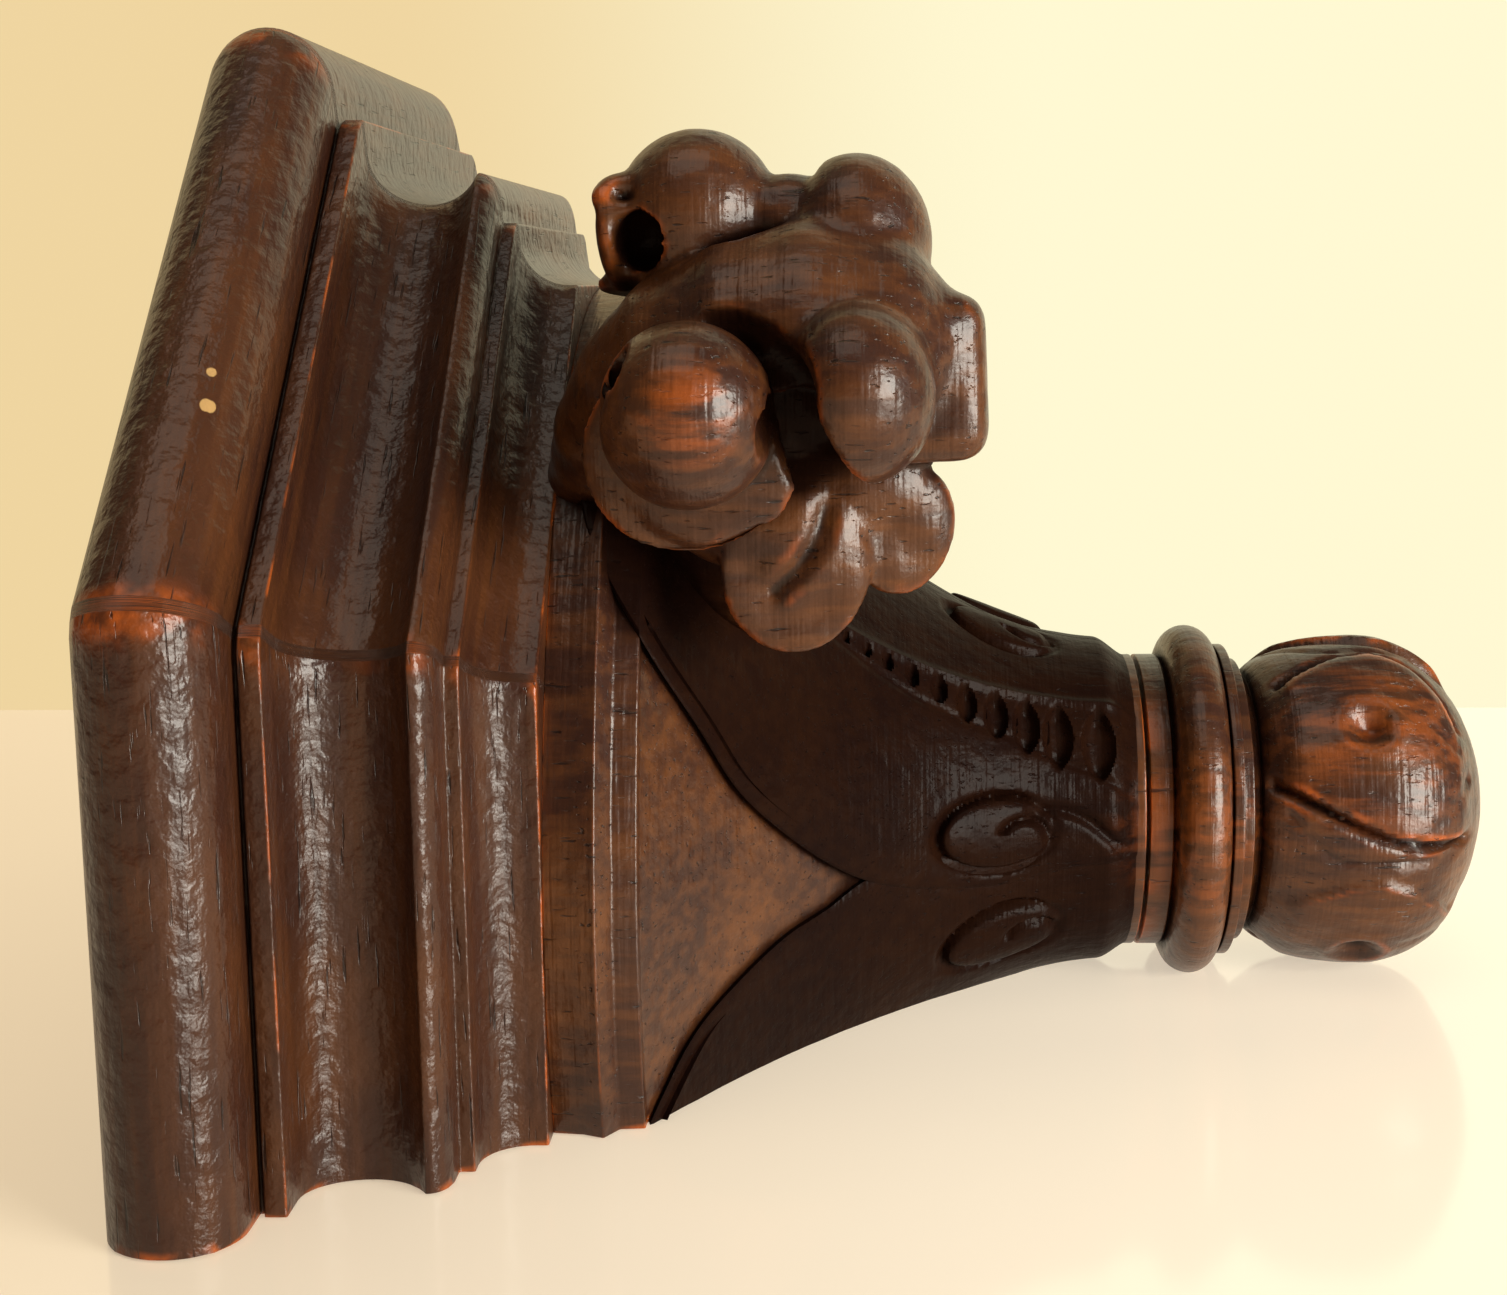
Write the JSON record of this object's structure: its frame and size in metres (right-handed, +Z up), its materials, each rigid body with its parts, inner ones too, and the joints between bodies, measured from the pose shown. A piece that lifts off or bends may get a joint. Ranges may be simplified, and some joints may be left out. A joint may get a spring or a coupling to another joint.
{
  "type": "carved wall shelf",
  "caption": "Carved oak wall bracket shelf: moulded canted top on a trumpet body with leaves, curled leaf heads and a bud finial.",
  "frame": {"origin": "on the wall plane, in the middle of the flat back of the shelf moulding", "axes": "+Z up, +Y into the wall, +X along the wall"},
  "size_m": [0.284, 0.1737, 0.2244],
  "materials": {
    "varnished_oak": "dark red-brown stain under glossy varnish, worn lighter along the edges"
  },
  "bodies": {
    "root": {"moulded_shelf": "varnished_oak", "carved_body": "varnished_oak", "turned_finial": "varnished_oak"}
  },
  "joints": []
}
